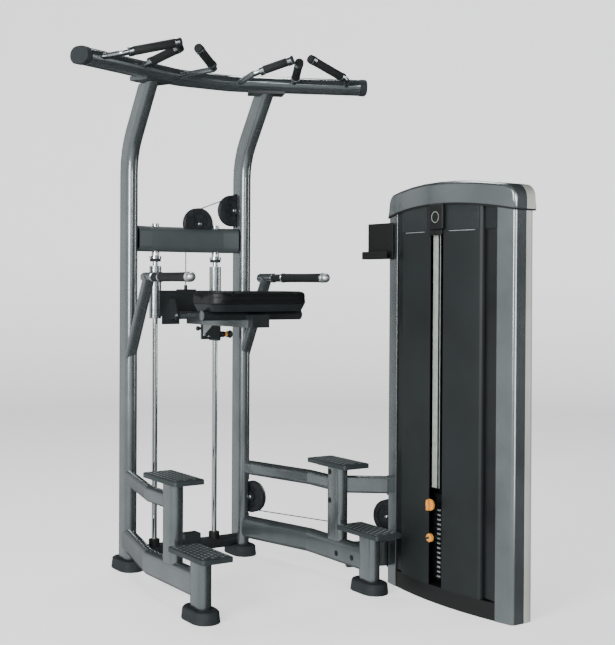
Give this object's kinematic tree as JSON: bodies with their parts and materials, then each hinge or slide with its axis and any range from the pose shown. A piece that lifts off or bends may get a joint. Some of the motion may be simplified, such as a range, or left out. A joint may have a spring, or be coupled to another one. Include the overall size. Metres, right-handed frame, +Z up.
{
  "type": "assisted chin-up and dip machine",
  "caption": "Pull-up beam on two bent uprights with a sliding kneeling pad, turning dip handles, side steps and a shrouded weight tower linked by a cable over pulleys.",
  "frame": {"origin": "centre of the bounding box on the floor", "axes": "+Z up; -Y is the side where the user steps on; +X points across the user from the left upright to the weight tower"},
  "size_m": [1.496, 1.74, 2.3504],
  "materials": {
    "frame_paint": "metallic grey gloss powder coat",
    "dark_paint": "dark grey powder coat",
    "black_paint": "satin black",
    "shroud_paint": "matt dark grey sheet",
    "boot_rubber": "matt",
    "grip_rubber": "matt",
    "pad_vinyl": "satin black vinyl",
    "chrome": "polished",
    "plate_steel": "satin",
    "pulley_nylon": "satin black",
    "tread_alloy": "slotted, satin",
    "dial_plastic": "orange"
  },
  "bodies": {
    "frame": {"upright_left": "frame_paint", "upright_right": "frame_paint", "upper_step_beam_left": "frame_paint", "upper_step_beam_right": "frame_paint", "upper_step_post_left": "frame_paint", "upper_step_post_right": "frame_paint", "lower_step_post_left": "frame_paint", "lower_step_post_right": "frame_paint", "dip_arm_left": "frame_paint", "dip_arm_right": "frame_paint", "lower_step_beam_left": "frame_paint", "mid_crossbar": "frame_paint", "base_cross_tube": "frame_paint", "pullup_beam": "frame_paint", "tower_post_far": "frame_paint", "tower_post_near": "frame_paint", "tower_cover": "frame_paint", "lower_step_beam_right": "dark_paint", "upright_boot_left": "boot_rubber", "upright_boot_right": "boot_rubber", "step_boot_left": "boot_rubber", "step_boot_right": "boot_rubber", "beam_cap_left": "grip_rubber", "beam_cap_right": "grip_rubber", "wide_grip_left": "grip_rubber", "wide_grip_right": "grip_rubber", "neutral_grip_left": "grip_rubber", "neutral_grip_right": "grip_rubber", "close_grip_left": "grip_rubber", "close_grip_right": "grip_rubber", "guide_rod_left": "chrome", "guide_rod_right": "chrome", "upper_tread_left": "tread_alloy", "upper_tread_right": "tread_alloy", "lower_tread_left": "tread_alloy", "lower_tread_right": "tread_alloy", "cable_run": "plate_steel", "resting_plates": "plate_steel", "tower_frame": "black_paint", "device_holder": "black_paint", "front_shroud": "shroud_paint", "rear_shroud": "shroud_paint"},
    "carriage": {"carriage": "frame_paint", "carriage_cable": "plate_steel"},
    "pad": {"pad_arm": "frame_paint", "pad_tray": "black_paint", "knee_pad": "pad_vinyl"},
    "pull_pin": {"pull_pin": "black_paint"},
    "lifted_stack": {"lifted_plates": "plate_steel", "stack_cable": "plate_steel"},
    "selector_pin": {"selector_pin": "dial_plastic"},
    "increment_dial": {"increment_dial": "dial_plastic"},
    "dip_handle_left": {"dip_handle_left": "chrome"},
    "dip_handle_right": {"dip_handle_right": "chrome"},
    "crossbar_pulley": {"crossbar_pulley": "pulley_nylon"},
    "upright_pulley": {"upright_pulley": "pulley_nylon"},
    "lower_pulley": {"lower_pulley": "pulley_nylon"},
    "tower_pulley": {"tower_pulley": "pulley_nylon"},
    "top_pulley_far": {"top_pulley_far": "pulley_nylon"},
    "top_pulley_near": {"top_pulley_near": "pulley_nylon"}
  },
  "joints": [
    {"name": "carriage_slide", "type": "slide", "parent": "frame", "child": "carriage", "axis": [0, 0, -1], "range_m": [0, 0.85], "deforming": ["carriage_cable"]},
    {"name": "pad_fold", "type": "hinge", "parent": "carriage", "child": "pad", "pos_m": [0, 0.698, 1.172], "axis": [-1, 0, 0], "range_deg": [0, 75]},
    {"name": "pull_pin_slide", "type": "slide", "parent": "carriage", "child": "pull_pin", "axis": [1, 0, 0], "range_m": [-0.014, 0]},
    {"name": "stack_slide", "type": "slide", "parent": "frame", "child": "lifted_stack", "axis": [0, 0, 1], "range_m": [0, 0.85], "deforming": ["stack_cable"]},
    {"name": "selector_pull", "type": "slide", "parent": "lifted_stack", "child": "selector_pin", "axis": [-1, 0, 0], "range_m": [0, 0.06]},
    {"name": "dial_turn", "type": "hinge", "parent": "lifted_stack", "child": "increment_dial", "pos_m": [0.5, -0.4635, 0.415], "axis": [-1, 0, 0], "range_deg": [0, 90]},
    {"name": "dip_handle_left_turn", "type": "hinge", "parent": "frame", "child": "dip_handle_left", "pos_m": [-0.306, 0.542, 1.347], "axis": [-0.0628, -0.998, 0], "continuous": true},
    {"name": "dip_handle_right_turn", "type": "hinge", "parent": "frame", "child": "dip_handle_right", "pos_m": [0.306, 0.542, 1.347], "axis": [0.0628, -0.998, 0], "continuous": true},
    {"name": "crossbar_pulley_spin", "type": "hinge", "parent": "frame", "child": "crossbar_pulley", "pos_m": [0.064, 0.78, 1.604], "axis": [0, -1, 0], "range_deg": [0, 765]},
    {"name": "upright_pulley_spin", "type": "hinge", "parent": "frame", "child": "upright_pulley", "pos_m": [0.253, 0.78, 1.674], "axis": [0, -1, 0], "range_deg": [0, 765]},
    {"name": "lower_pulley_spin", "type": "hinge", "parent": "frame", "child": "lower_pulley", "pos_m": [0.3385, 0.71972, 0.282], "axis": [0.9419, 0.336, 0], "range_deg": [0, 765]},
    {"name": "tower_pulley_spin", "type": "hinge", "parent": "frame", "child": "tower_pulley", "pos_m": [0.6055, -0.02872, 0.282], "axis": [0.9419, 0.336, 0], "range_deg": [0, 765]},
    {"name": "top_pulley_far_spin", "type": "hinge", "parent": "frame", "child": "top_pulley_far", "pos_m": [0.627, -0.153, 1.53], "axis": [-1, 0, 0], "range_deg": [0, 765]},
    {"name": "top_pulley_near_spin", "type": "hinge", "parent": "frame", "child": "top_pulley_near", "pos_m": [0.627, -0.3995, 1.53], "axis": [-1, 0, 0], "range_deg": [0, 765]}
  ],
  "couplings": [
    {"joint": "stack_slide", "follows": "carriage_slide", "ratio": 1},
    {"joint": "crossbar_pulley_spin", "follows": "carriage_slide", "rad_per_m": 15.625},
    {"joint": "upright_pulley_spin", "follows": "carriage_slide", "rad_per_m": 15.625},
    {"joint": "lower_pulley_spin", "follows": "carriage_slide", "rad_per_m": 15.625},
    {"joint": "tower_pulley_spin", "follows": "carriage_slide", "rad_per_m": 15.625},
    {"joint": "top_pulley_far_spin", "follows": "carriage_slide", "rad_per_m": 15.625},
    {"joint": "top_pulley_near_spin", "follows": "carriage_slide", "rad_per_m": 15.625}
  ]
}
